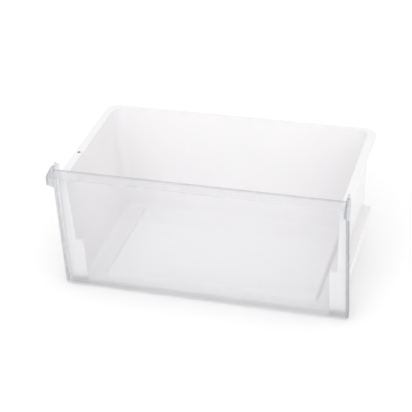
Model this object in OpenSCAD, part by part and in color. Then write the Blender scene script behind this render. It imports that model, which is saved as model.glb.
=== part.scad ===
// Crisper drawer of a fridge: an opaque white moulded bin, open at the front, and a clear moulded
// front that clips over the bin's front frame and carries the handle hood along its top.
// Millimetres, +X to the right, -Y to the front, +Z up. The origin is on the surface that the
// drawer stands on, under the middle of the drawer's box.

/* [Overall] */
// Width over the face of the clear front
drawer_w = 469; // [400:1:520]
// Depth from the face of the clear front to the back edge of the rim
face_to_back = 253; // [200:1:320]

/* [Bin] */
// Height of the bin from its underside to the top of its rim
bin_h = 199.5; // [160:0.5:215]
// Thickness of the bin's walls, floor, runners and front frame
bin_wall = 2.5; // [2:0.1:3.5]
// Lean of the bin's walls away from upright, in degrees
wall_draft = 2.4; // [1:0.1:3]
// Radius of the bin's upright back corners, outside, at the rim
corner_r = 22; // [20:0.5:36]
// Radius between walls and floor, outside
foot_r = 10; // [6:0.5:14]

/* [Rim] */
// Distance of the rim's outer edge inside the edge of the clear front, at each side
rim_in = 2; // [1:0.5:5]
// How far the rim stands out from the side walls
rim_side_w = 11.5; // [9:0.5:18]
// How far the rim stands out from the back wall
rim_back_w = 4; // [3:0.5:12]
// Radius of the rim's back corners
rim_corner_r = 22; // [12:0.5:30]
// Height of the rim's turned-down edge
rim_edge_h = 5; // [4:0.5:10]
// Radius of the edge's rounded top
rim_edge_r = 2; // [1:0.1:2.4]
// Diameter of the small hole in the left side of the rim
rim_hole_d = 5; // [3:0.1:7]
// Distance of the hole behind the face of the clear front
rim_hole_back = 88; // [50:1:150]
// Distance of the hole from the rim's outer edge
rim_hole_in = 8; // [6:0.5:10]

/* [Raised floor] */
// Height of the floor's raised middle above the gutter round it
step_h = 6; // [3:0.5:9]
// Width of the slope between the gutter and the raised middle
step_slope_w = 4; // [1:0.5:6]
// Radius of the raised middle's corners
step_corner_r = 8; // [8:0.5:20]
// Radius of the raised middle's upper and lower edges, at mid wall
step_edge_r = 2.4; // [1.8:0.1:3]
// Width of the gutter at each side, from the raised middle to the edge of the clear front
step_side_in = 54; // [45:1:80]
// Distance of the raised middle behind the clear front's face
step_front_in = 33; // [26:1:60]
// Distance of the raised middle from the back edge of the rim
step_back_in = 23; // [22:1:40]

/* [Runners] */
// Height of the runners' upper face above the underside
runner_z = 77; // [50:1:110]
// Height of the runners' outer skirt
runner_skirt_h = 18.5; // [14:0.5:30]
// Distance from the clear front's face to the back end of the runners
runner_back = 211; // [150:1:225]
// Length of the slope that lifts the skirt's lower edge at the back end
runner_slope_l = 22; // [10:1:40]
// Height of the skirt at the back end, below the ledge's upper face
runner_end_h = 11; // [8:0.5:14]

/* [Front frame] */
// Distance of the frame's front behind the face of the clear front
frame_back = 12; // [9:0.5:16]
// Height of the two wide plates at the foot of the frame
plate_h = 80; // [60:1:120]
// Distance of the plates' inner edges from the edges of the clear front
plate_in = 33; // [26:0.5:40]

/* [Clear front] */
// Thickness of the clear front
front_wall = 2; // [1.8:0.1:3]
// Depth of the side returns, from the face backwards
return_d = 22; // [18:0.5:28]
// How far the face stands out beyond the returns
face_lip = 2; // [1.5:0.1:5]
// Radius of the face's front edge
face_edge_r = 1; // [0.5:0.1:1.5]
// Radius of the face's lower corners, seen from the front
face_corner_r = 7; // [6:0.5:12]
// Height of the stop along the foot that the bin's frame seats on
foot_stop_h = 7; // [5:0.5:12]
// Width of the step inside each return that the frame seats on
seat_w = 1.5; // [1:0.1:2.5]
// Height of each clip behind the frame
clip_h = 10; // [5:0.5:16]
// How far the clips stand in from the returns
clip_in = 1.8; // [1:0.1:2.5]
// Length of a clip's slope, from front to back
clip_d = 4.5; // [3:0.1:5]
// Number of clips on each side above the runner
clip_count = 2; // [1:1:3]

/* [Handle] */
// Height of the hood's upper face above the underside
hood_z = 219.3; // [215.5:0.1:240]
// Reach of the hood in front of the face
hood_reach = 22; // [18:0.5:30]
// Drop of the hood's upper face from the fold to the front edge
hood_drop = 0.8; // [0:0.1:4]
// Bend radius at the hood's fold, at mid wall
fold_r = 1.8; // [1.6:0.1:3]
// Thickness of the end plates
ear_t = 4; // [3:0.1:4.5]
// How far the end plates stand above the hood at the fold
ear_up = 4.8; // [2:0.1:8]
// How far the end plates stand out in front of the hood
ear_proud = 2.5; // [1:0.5:6]
// Height of the end plates' upright front edge
ear_front_h = 14; // [8:0.5:20]
// How far the end plates reach down the face, below the hood
ear_foot = 35; // [28:0.5:60]
// How far the end plates reach behind the face
ear_back = 11; // [6:0.5:14]
// How far the returns rise above the hood behind the end plates
shoulder_up = 5.5; // [3:0.5:9]
// Length of the slope down from the returns' top to their back edge
shoulder_slope = 9; // [5:0.5:12]

/* [Fits] */
// Clearance between the bin's front frame and the clear front
front_fit = 0.3; // [0.2:0.05:0.6]
// Clearance between the bin's edges and the inside of the returns
side_fit = 0.4; // [0.3:0.05:1]

/* [Hidden] */

$fn = 48;
// Steps in each rounded bend of an outline
bend_steps = 7;
// How far cutting shapes overrun the faces that they cut
over = 1;

half_w = drawer_w / 2;
face_y = (hood_reach + ear_proud - face_to_back) / 2;
back_y = face_y + face_to_back;

// Bin
rim_half_w = half_w - rim_in;
wall_half_w = rim_half_w - rim_side_w;
wall_back_y = back_y - rim_back_w;
frame_y = face_y + frame_back;
corner_x = wall_half_w - corner_r;
corner_y = wall_back_y - corner_r;
wall_lean = tan(wall_draft);
rim_front_y = face_y + return_d + front_fit;
runner_end_y = face_y + runner_back;
foot_bend_r = min(foot_r, corner_r - bin_h * wall_lean - bin_wall / 4) - bin_wall / 2;

// Raised floor
step_half_w = half_w - step_side_in;
step_front_y = face_y + step_front_in;
step_back_y = back_y - step_back_in;

// Clear front
return_x = half_w - face_lip;
inner_x = return_x - front_wall;
fit_half_w = inner_x - side_fit;
seat_y = frame_y - front_fit;
clip_y = frame_y + bin_wall + front_fit;
ear_top_z = hood_z + ear_up;
shoulder_z = hood_z + shoulder_up;

function unit(v) = v / norm(v);
function cross2(a, b) = a.x * b.y - a.y * b.x;

// Points of the bend that rounds corner b between a and c
function bend(a, b, c, r) =
    let (
        u = unit(a - b),
        v = unit(c - b),
        half = acos(u * v) / 2,
        centre = b + unit(u + v) * r / sin(half),
        from = b + u * r / tan(half) - centre,
        to = b + v * r / tan(half) - centre,
        first = atan2(from.y, from.x),
        turn = atan2(cross2(from, to), from * to)
    )
    [for (i = [0 : bend_steps])
        centre + r * [cos(first + turn * i / bend_steps), sin(first + turn * i / bend_steps)]];

// Closed outline through corners p with a radius for each, where 0 leaves the corner sharp
function rounded(p, r) =
    let (n = len(p))
    [for (i = [0 : n - 1])
        each r[i] > 0 ? bend(p[(i + n - 1) % n], p[i], p[(i + 1) % n], r[i]) : [p[i]]];

// Path p moved sideways by d, to its left where d is positive
function shifted(p, d) =
    let (
        n = len(p),
        side = [for (i = [0 : n - 2])
            let (way = unit(p[i + 1] - p[i])) [-way.y, way.x]]
    )
    [for (i = [0 : n - 1])
        i == 0 ? p[i] + d * side[0]
        : i == n - 1 ? p[i] + d * side[n - 2]
        : p[i] + d * (side[i - 1] + side[i]) / (1 + side[i - 1] * side[i])];

// Open path p with bend radii r for its inner corners, moved sideways by d
function bent(p, r, d) =
    let (n = len(p), q = shifted(p, d))
    [for (i = [0 : n - 1])
        each i == 0 || i == n - 1 ? [q[i]]
        : let (left = cross2(p[i] - p[i - 1], p[i + 1] - p[i]) > 0)
            bend(q[i - 1], q[i], q[i + 1], r[i - 1] + (left ? -d : d))];

function backwards(p) = [for (i = [len(p) - 1 : -1 : 0]) p[i]];

// Section of a sheet of thickness t that follows path p with bends of radius r at mid wall
function sheet(p, r, t) = concat(bent(p, r, t / 2), backwards(bent(p, r, -t / 2)));

module both_sides() {
    children();
    mirror([1, 0, 0]) children();
}

// Sweeps a section round both sides and the back of a plan. The section's x is the distance
// outwards from the corner axis, its y the height.
module sweep_u(w, front, back, r) {
    both_sides() {
        translate([w - r, back - r, 0]) rotate([90, 0, 0])
            linear_extrude(back - r - front) children();
        translate([w - r, back - r, 0]) rotate_extrude(angle = 90) children();
    }
    translate([r - w, back - r, 0]) rotate([90, 0, 90]) linear_extrude(2 * (w - r)) children();
}

// The same round all four sides
module sweep_o(w, front, back, r) {
    sweep_u(w, front + r, back, r) children();
    both_sides() translate([w - r, front + r, 0]) rotate([0, 0, -90])
        rotate_extrude(angle = 90) children();
    translate([w - r, front + r, 0]) rotate([90, 0, -90])
        linear_extrude(2 * (w - r)) children();
}

// Extrudes an outline drawn as (y, z) along x, from x0 to x1
module along_x(x0, x1) {
    translate([x0, 0, 0]) rotate([90, 0, 90]) linear_extrude(x1 - x0) children();
}

module block(low, high) {
    translate(low) cube(high - low);
}

// Wall section of the bin, from the floor up to the rim
module wall_section() {
    foot_x = corner_r - bin_wall / 2 - bin_h * wall_lean;
    top = bin_h + over;
    path = [[0, bin_wall / 2], [foot_x, bin_wall / 2], [foot_x + top * wall_lean, top]];
    intersection() {
        polygon(sheet(path, [foot_bend_r], bin_wall));
        square([2 * corner_r, bin_h]);
    }
}

// Walls, with the floor outside the raised middle
module tub() {
    sweep_u(wall_half_w, frame_y, wall_back_y, corner_r) wall_section();
    difference() {
        block([-corner_x, frame_y, 0], [corner_x, corner_y, bin_wall]);
        block(
            [-step_half_w + step_corner_r, step_front_y, -over],
            [step_half_w - step_corner_r, step_back_y, bin_wall + over]
        );
        block(
            [-step_half_w, step_front_y + step_corner_r, -over],
            [step_half_w, step_back_y - step_corner_r, bin_wall + over]
        );
        for (x = [-1, 1], y = [step_front_y + step_corner_r, step_back_y - step_corner_r])
            translate([x * (step_half_w - step_corner_r), y, -over])
                cylinder(r = step_corner_r, h = bin_wall + 2 * over);
    }
}

// Raised middle of the floor with its sloping edge
module raised_floor() {
    top_x = step_corner_r - step_slope_w - bin_wall;
    path = [
        [0, step_h + bin_wall / 2],
        [top_x, step_h + bin_wall / 2],
        [top_x + step_slope_w, bin_wall / 2],
        [step_corner_r, bin_wall / 2]
    ];
    sweep_o(step_half_w, step_front_y, step_back_y, step_corner_r)
        polygon(sheet(path, [step_edge_r, step_edge_r], bin_wall));
    block(
        [-step_half_w + step_corner_r, step_front_y + step_corner_r, step_h],
        [step_half_w - step_corner_r, step_back_y - step_corner_r, step_h + bin_wall]
    );
}

// Flat flange round the sides and the back with its turned-down edge
module rim() {
    sweep_u(rim_half_w, rim_front_y, back_y, rim_corner_r)
        polygon(rounded(
            [
                [rim_corner_r - bin_wall, bin_h - rim_edge_h],
                [rim_corner_r, bin_h - rim_edge_h],
                [rim_corner_r, bin_h],
                [rim_corner_r - bin_wall - over, bin_h],
                [rim_corner_r - bin_wall - over, bin_h - bin_wall],
                [rim_corner_r - bin_wall, bin_h - bin_wall]
            ],
            [0, 0, rim_edge_r, 0, 0, 0]
        ));
    translate([0, 0, bin_h - bin_wall]) linear_extrude(bin_wall) difference() {
        union() {
            plan(rim_half_w - bin_wall, rim_front_y, back_y - bin_wall, rim_corner_r - bin_wall);
            plan(fit_half_w, frame_y, rim_front_y + over, 0);
        }
        plan(
            wall_half_w - bin_wall / 2,
            frame_y - over,
            wall_back_y - bin_wall / 2,
            corner_r - bin_wall / 2
        );
    }
}

// Plan with two rounded corners at the back
module plan(w, front, back, r) {
    translate([-w, front]) square([2 * w, back - r - front]);
    translate([r - w, front]) square([2 * (w - r), back - front]);
    if (r > 0) for (s = [-1, 1]) translate([s * (w - r), back - r]) circle(r);
}

// Ledge along the outside of each wall with a skirt, open below
module runner() {
    wall_x = wall_half_w - bin_wall / 2 - (bin_h - runner_z) * wall_lean;
    block([wall_x, frame_y, runner_z - bin_wall], [fit_half_w, runner_end_y, runner_z]);
    along_x(fit_half_w - bin_wall, fit_half_w) polygon(rounded(
        [
            [frame_y, runner_z - runner_skirt_h],
            [runner_end_y - runner_slope_l, runner_z - runner_skirt_h],
            [runner_end_y, runner_z - runner_end_h],
            [runner_end_y, runner_z],
            [frame_y, runner_z]
        ],
        [0, runner_slope_l / 2, bin_wall, 0, 0]
    ));
}

// Flange at the front end of each wall, widened below the runner into a plate
module frame_side() {
    wall_x = wall_half_w - bin_wall / 2;
    translate([0, frame_y + bin_wall, 0]) rotate([90, 0, 0]) linear_extrude(bin_wall) polygon([
        [wall_x, bin_h],
        [wall_x - (bin_h - plate_h) * wall_lean, plate_h],
        [half_w - plate_in, plate_h],
        [half_w - plate_in, 0],
        [fit_half_w, 0],
        [fit_half_w, bin_h]
    ]);
}

module bin() {
    color([0.93, 0.93, 0.95]) difference() {
        union() {
            tub();
            raised_floor();
            rim();
            both_sides() {
                runner();
                frame_side();
            }
        }
        translate([rim_hole_in - rim_half_w, face_y + rim_hole_back, bin_h - bin_wall - over])
            cylinder(d = rim_hole_d, h = bin_wall + 2 * over);
    }
}

// Section through the face's edge and the return behind it
module edge_section() {
    polygon(rounded(
        [[0, 0], [face_corner_r, 0], [face_corner_r, front_wall], [0, front_wall]],
        [0, face_edge_r, face_edge_r, 0]
    ));
    translate([face_corner_r - face_lip - front_wall, front_wall / 2])
        square([front_wall, return_d - front_wall / 2]);
}

// Face with its side returns and the stop along its foot
module face_tray() {
    fold_z = hood_z - front_wall / 2 - fold_r;
    translate([0, face_y, 0]) rotate([-90, 0, 0]) {
        sweep_u(half_w, -fold_z, 0, face_corner_r) edge_section();
        block(
            [face_corner_r - half_w, -fold_z, 0],
            [half_w - face_corner_r, -face_corner_r, front_wall]
        );
    }
    block(
        [-inner_x - front_wall / 2, face_y + front_wall / 2, foot_stop_h - front_wall],
        [inner_x + front_wall / 2, seat_y, foot_stop_h]
    );
}

// Steps inside the returns that the bin's frame seats on
module seats() {
    both_sides() block(
        [inner_x - seat_w, face_y + front_wall / 2, foot_stop_h - front_wall],
        [inner_x + front_wall / 2, seat_y, hood_z - front_wall]
    );
}

// Wedges behind the bin's frame, one below the runner and the others above it
module clips() {
    low = runner_z - runner_skirt_h - 2 * clip_h;
    first = runner_z + clip_h;
    pitch = (bin_h - rim_edge_h - first) / clip_count;
    heights = concat([low], [for (i = [0 : clip_count - 1]) first + (i + 0.5) * pitch]);
    both_sides() for (z = heights) translate([0, 0, z]) linear_extrude(clip_h) polygon([
        [inner_x - clip_in, clip_y],
        [inner_x + front_wall / 2, clip_y],
        [inner_x + front_wall / 2, clip_y + clip_d],
        [inner_x, clip_y + clip_d]
    ]);
}

// Hood folded forward from the top of the face
module hood() {
    mid = front_wall / 2;
    path = [
        [face_y + mid, hood_z - mid - 2 * fold_r],
        [face_y + mid, hood_z - mid],
        [face_y - hood_reach + mid, hood_z - mid - hood_drop]
    ];
    along_x(ear_t / 2 - half_w, half_w - ear_t / 2) {
        polygon(sheet(path, [fold_r], front_wall));
        translate(path[2]) circle(d = front_wall);
    }
}

// Plate that closes each end of the hood
module ear() {
    front = face_y - hood_reach - ear_proud;
    foot_z = hood_z - ear_foot;
    along_x(half_w - ear_t, half_w) polygon(rounded(
        [
            [face_y + ear_back, hood_z - ear_front_h],
            [face_y + ear_back, hood_z],
            [face_y, ear_top_z],
            [front + ear_proud, hood_z],
            [front, hood_z - ear_front_h],
            [face_y, foot_z],
            [face_y + front_wall, foot_z]
        ],
        [0, 3, 8, 3, 3, 0, 0]
    ));
}

// Top of each return, which rises above the hood behind the end plate
module shoulder() {
    back = face_y + return_d;
    along_x(inner_x, return_x) polygon(rounded(
        [
            [back, bin_h - rim_edge_h],
            [back, shoulder_z - 1.5 * shoulder_slope],
            [back - shoulder_slope, shoulder_z],
            [face_y + front_wall, shoulder_z],
            [face_y + front_wall, bin_h - rim_edge_h]
        ],
        [0, 5, 4, 4, 0]
    ));
}

module clear_front() {
    color([0.86, 0.88, 0.94, 0.5]) {
        difference() {
            face_tray();
            block(
                [-inner_x, seat_y, -over],
                [inner_x, face_y + return_d + over, face_corner_r + over]
            );
        }
        seats();
        clips();
        hood();
        both_sides() {
            ear();
            shoulder();
        }
    }
}

bin();
clear_front();
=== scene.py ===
"""Looks for the fridge crisper drawer: materials, floor, light and camera round the CAD frame."""

import bpy
from mathutils import Matrix, Vector

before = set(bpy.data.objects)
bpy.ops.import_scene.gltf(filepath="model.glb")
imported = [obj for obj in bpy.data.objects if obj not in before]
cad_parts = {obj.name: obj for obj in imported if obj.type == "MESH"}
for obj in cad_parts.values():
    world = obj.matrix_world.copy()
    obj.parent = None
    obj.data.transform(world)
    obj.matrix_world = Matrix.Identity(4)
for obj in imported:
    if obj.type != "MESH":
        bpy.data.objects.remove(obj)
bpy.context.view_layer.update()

# Camera: its place in metres, and the directions of its right, up and back
CAMERA_AT = (0.5295, -1.6580, 1.2333)
CAMERA_RIGHT = (0.9578, 0.2824, -0.0546)
CAMERA_UP = (-0.1096, 0.5338, 0.8385)
CAMERA_BACK = (0.2660, -0.7971, 0.5422)
LENS_MM = 111.66
SENSOR_MM = 36

# White moulding: its colour and, between clouds of the melt, its shade
WHITE = (0.868, 0.858, 0.863, 1)
WHITE_SHADE = (0.853, 0.843, 0.850, 1)
WHITE_IOR = 1.55
WHITE_GLOSS = 0.34
WHITE_MATT = 0.46
WHITE_DEPTH = 0.15
WHITE_SCATTER = (0.006, 0.005, 0.005)

# Hole in the rim: its middle, the reach in metres of the painted shade inside it, and that
# painted shade's colour
HOLE_AT = (-0.2245, -0.02625, 0.19825)
HOLE_SHADE_REACH = 0.00283
HOLE_PAINTED_SHADE = (0.28, 0.28, 0.29, 1)

# Patterns, as waves a metre: clouds, flow and grain of the white, waves and haze of the clear
CLOUD_SCALE = 9
FLOW_SCALE = 22
GRAIN_SCALE = 1400
WAVE_SCALE = 12
HAZE_SCALE = 60
MOTTLE_SCALE = 3

# Relief of those patterns, as strength and height in metres
FLOW_RELIEF = (0.08, 0.002)
GRAIN_RELIEF = (0.06, 0.00015)
WAVE_RELIEF = (0.03, 0.002)

# Clear moulding: tint in its depth, and how much light passes it unbent
CLEAR_TINT = (0.35, 0.36, 0.52, 1)
CLEAR_DENSITY = 14
CLEAR_IOR = 1.15
CLEAR_ALPHA = 0.65
CLEAR_SMOOTH = 0.02
CLEAR_HAZY = 0.06
GLOSS_IOR = 1.5
GLOSS_ROUGHNESS = 0.03

# Painted shade on the edges of the clear moulding, and its places inside the moulding's box, in
# metres
PLAIN = (1, 1, 1, 1)
FOLD_PAINTED_SHADE = (0.05, 0.05, 0.075, 1)
SIDE_PAINTED_SHADE = (0.68, 0.69, 0.71, 1)
END_PAINTED_SHADE = (0.62, 0.63, 0.66, 1)
FOLD_FROM_BACK = 0.021
FOLD_HALF = 0.0014
FOLD_FROM_TOP = 0.0083
SIDE_DEPTH = 0.0042
END_DEPTH = 0.002

# Studio: a pale floor under a tent of light that is brightest above and in front
FLOOR = (0.965, 0.965, 0.967, 1)
FLOOR_PATCH = (0.975, 0.975, 0.975, 1)
FLOOR_SIZE = 12
FLOOR_ROUGHNESS = 0.8
TENT_TOWARDS = (0.20, -0.62, 0.76)
TENT_LOW = 0.30
TENT_HIGH = 1.29
KEY_AT = (0.2, -2.6, 2.0)
KEY_TOWARDS = (0, 0, 0.1)
KEY_SIZE = (3.0, 2.4)
KEY_WATTS = 14


class Nodes:
    """A node tree with short calls for adding and joining nodes."""

    def __init__(self, tree):
        self.tree = tree

    def add(self, kind, **settings):
        node = self.tree.nodes.new(kind)
        for name, value in settings.items():
            if hasattr(node, name):
                setattr(node, name, value)
            else:
                node.inputs[name.replace("_", " ")].default_value = value
        return node

    def join(self, source, output, target, socket):
        self.tree.links.new(source.outputs[output], target.inputs[socket])

    def noise(self, place, scale, detail, roughness=0.5):
        noise = self.add("ShaderNodeTexNoise", Scale=scale, Detail=detail, Roughness=roughness)
        self.join(place, "Object", noise, "Vector")
        return noise

    def ramp(self, source, output, low, high, first, last):
        """A colour ramp from first at low to last at high."""
        ramp = self.add("ShaderNodeValToRGB")
        ramp.color_ramp.elements[0].position = low
        ramp.color_ramp.elements[0].color = first
        ramp.color_ramp.elements[1].position = high
        ramp.color_ramp.elements[1].color = last
        self.join(source, output, ramp, "Fac")
        return ramp

    def bump(self, source, relief, under=None):
        bump = self.add("ShaderNodeBump", Strength=relief[0], Distance=relief[1])
        self.join(source, "Fac", bump, "Height")
        if under:
            self.join(under, "Normal", bump, "Normal")
        return bump

    def where(self, mask, tint):
        """Plain where the mask is 0, and the tint where it is 1."""
        return self.ramp(mask.node, "Value", 0, 1, PLAIN, tint).outputs["Color"]

    def multiply(self, first, second):
        """The product of two colours."""
        both = self.add("ShaderNodeVectorMath", operation="MULTIPLY")
        self.tree.links.new(first, both.inputs[0])
        self.tree.links.new(second, both.inputs[1])
        return both.outputs["Vector"]

    def calculate(self, operation, first, second=0.0):
        """The output of a math node; each input is a number or another node's output."""
        node = self.add("ShaderNodeMath", operation=operation)
        for socket, value in zip(node.inputs, (first, second)):
            if isinstance(value, bpy.types.NodeSocket):
                self.tree.links.new(value, socket)
            else:
                socket.default_value = value
        return node.outputs["Value"]


class Surface(Nodes):
    """A material with its output and the coordinates of the piece that it covers."""

    def __init__(self, name):
        self.material = bpy.data.materials.new(name)
        self.material.use_nodes = True
        self.material.node_tree.nodes.clear()
        super().__init__(self.material.node_tree)
        self.output = self.add("ShaderNodeOutputMaterial")
        self.place = self.add("ShaderNodeTexCoord")


def grey(level):
    return (level, level, level, 1)


def highest_corner(name):
    """Highest x, y and z of a node's mesh."""
    points = [vertex.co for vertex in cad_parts[name].data.vertices]
    return Vector(max(point[axis] for point in points) for axis in range(3))


def painted_hole_shade(m):
    """Painted shade inside the hole in the rim, and plain elsewhere."""
    away = m.add("ShaderNodeVectorMath", operation="DISTANCE")
    away.inputs[1].default_value = HOLE_AT
    m.join(m.place, "Object", away, 0)
    inside = m.calculate("LESS_THAN", away.outputs["Value"], HOLE_SHADE_REACH)
    return m.where(inside, HOLE_PAINTED_SHADE)


def white_moulding():
    """White styrene: fine moulded grain, faint flow clouding and a satin gloss."""
    m = Surface("white_moulding")
    cloud = m.noise(m.place, CLOUD_SCALE, 3)
    grain = m.noise(m.place, GRAIN_SCALE, 2)
    flow = m.noise(m.place, FLOW_SCALE, 4, 0.6)
    clouded = m.ramp(cloud, "Fac", 0.3, 0.7, WHITE_SHADE, WHITE)
    # The colour carries painted shade inside the hole in the rim.
    colour = m.multiply(clouded.outputs["Color"], painted_hole_shade(m))
    rough = m.ramp(flow, "Fac", 0.3, 0.7, grey(WHITE_GLOSS), grey(WHITE_MATT))
    surface = m.bump(grain, GRAIN_RELIEF, m.bump(flow, FLOW_RELIEF))
    shader = m.add("ShaderNodeBsdfPrincipled")
    shader.inputs["IOR"].default_value = WHITE_IOR
    shader.inputs["Subsurface Weight"].default_value = WHITE_DEPTH
    shader.inputs["Subsurface Radius"].default_value = WHITE_SCATTER
    shader.inputs["Subsurface Scale"].default_value = 1.0
    m.join(colour.node, "Vector", shader, "Base Color")
    m.join(rough, "Color", shader, "Roughness")
    m.join(surface, "Normal", shader, "Normal")
    m.join(shader, "BSDF", m.output, "Surface")
    return m.material


def painted_edge_shade(m, high):
    """Painted shade where light runs along the sheet: darker in the hood's fold and towards both
    ends.
    """
    parts = m.add("ShaderNodeSeparateXYZ")
    m.join(m.place, "Object", parts, "Vector")
    from_fold = m.calculate("SUBTRACT", parts.outputs["Y"], high.y - FOLD_FROM_BACK)
    near_fold = m.calculate("LESS_THAN", m.calculate("ABSOLUTE", from_fold), FOLD_HALF)
    at_top = m.calculate("GREATER_THAN", parts.outputs["Z"], high.z - FOLD_FROM_TOP)
    fold = m.calculate("MULTIPLY", near_fold, at_top)
    across = m.calculate("ABSOLUTE", parts.outputs["X"])
    side = m.calculate("GREATER_THAN", across, high.x - SIDE_DEPTH)
    end = m.calculate("GREATER_THAN", across, high.x - END_DEPTH)
    ends = m.multiply(m.where(side, SIDE_PAINTED_SHADE), m.where(end, END_PAINTED_SHADE))
    return m.multiply(m.where(fold, FOLD_PAINTED_SHADE), ends)


def clear_moulding():
    """Clear styrene: polished, a little wavy, with a grey tint in its depth and painted shade
    along its fold and ends.
    """
    m = Surface("clear_moulding")
    wave = m.noise(m.place, WAVE_SCALE, 2)
    haze = m.noise(m.place, HAZE_SCALE, 3)
    # The base colour carries painted shade along the hood's fold and at both ends.
    tint = painted_edge_shade(m, highest_corner("clear_front"))
    rough = m.ramp(haze, "Fac", 0.35, 0.75, grey(CLEAR_SMOOTH), grey(CLEAR_HAZY))
    surface = m.bump(wave, WAVE_RELIEF)
    shader = m.add("ShaderNodeBsdfPrincipled")
    shader.inputs["IOR"].default_value = CLEAR_IOR
    shader.inputs["Transmission Weight"].default_value = 1
    shader.inputs["Coat Weight"].default_value = 1
    shader.inputs["Coat IOR"].default_value = GLOSS_IOR
    shader.inputs["Coat Roughness"].default_value = GLOSS_ROUGHNESS
    shader.inputs["Alpha"].default_value = CLEAR_ALPHA
    depth = m.add("ShaderNodeVolumeAbsorption")
    depth.inputs["Color"].default_value = CLEAR_TINT
    depth.inputs["Density"].default_value = CLEAR_DENSITY
    m.join(tint.node, "Vector", shader, "Base Color")
    m.join(rough, "Color", shader, "Roughness")
    m.join(surface, "Normal", shader, "Normal")
    m.join(shader, "BSDF", m.output, "Surface")
    m.join(depth, "Volume", m.output, "Volume")
    return m.material


def floor_material():
    """Matt floor with a faint mottle."""
    m = Surface("studio_floor")
    mottle = m.noise(m.place, MOTTLE_SCALE, 3)
    colour = m.ramp(mottle, "Fac", 0.3, 0.7, FLOOR, FLOOR_PATCH)
    shader = m.add("ShaderNodeBsdfPrincipled", Roughness=FLOOR_ROUGHNESS)
    m.join(colour, "Color", shader, "Base Color")
    m.join(shader, "BSDF", m.output, "Surface")
    return m.material


def dress(node, material):
    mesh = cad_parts[node].data
    mesh.materials.clear()
    mesh.materials.append(material)


def add_floor():
    half = FLOOR_SIZE / 2
    corners = [(-half, -half, 0), (half, -half, 0), (half, half, 0), (-half, half, 0)]
    mesh = bpy.data.meshes.new("studio_floor")
    mesh.from_pydata(corners, [], [(0, 1, 2, 3)])
    mesh.materials.append(floor_material())
    floor = bpy.data.objects.new("studio_floor", mesh)
    bpy.context.scene.collection.objects.link(floor)


def add_tent():
    """White surroundings, brightest in the direction TENT_TOWARDS."""
    world = bpy.data.worlds.new("studio")
    world.use_nodes = True
    n = Nodes(world.node_tree)
    background = world.node_tree.nodes["Background"]
    background.inputs["Color"].default_value = (1, 1, 1, 1)
    place = n.add("ShaderNodeTexCoord")
    facing = n.add("ShaderNodeVectorMath", operation="DOT_PRODUCT")
    facing.inputs[1].default_value = TENT_TOWARDS
    span = n.add("ShaderNodeMapRange", From_Min=-1, To_Min=TENT_LOW, To_Max=TENT_HIGH)
    n.join(place, "Generated", facing, 0)
    n.join(facing, "Value", span, "Value")
    n.join(span, "Result", background, "Strength")
    bpy.context.scene.world = world


def add_key_light():
    data = bpy.data.lights.new("key", "AREA")
    data.shape = "RECTANGLE"
    data.size, data.size_y = KEY_SIZE
    data.energy = KEY_WATTS
    light = bpy.data.objects.new("key", data)
    light.location = KEY_AT
    back = Vector(KEY_AT) - Vector(KEY_TOWARDS)
    light.rotation_euler = back.to_track_quat("Z", "Y").to_euler()
    bpy.context.scene.collection.objects.link(light)


def add_camera():
    data = bpy.data.cameras.new("camera")
    data.sensor_width = SENSOR_MM
    data.lens = LENS_MM
    data.clip_end = 50
    camera = bpy.data.objects.new("camera", data)
    turn = Matrix((CAMERA_RIGHT, CAMERA_UP, CAMERA_BACK)).transposed().to_4x4()
    camera.matrix_world = Matrix.Translation(CAMERA_AT) @ turn
    bpy.context.scene.collection.objects.link(camera)
    bpy.context.scene.camera = camera


dress("bin", white_moulding())
dress("clear_front", clear_moulding())
add_floor()
add_tent()
add_key_light()
add_camera()

bpy.context.scene.view_settings.view_transform = "Standard"
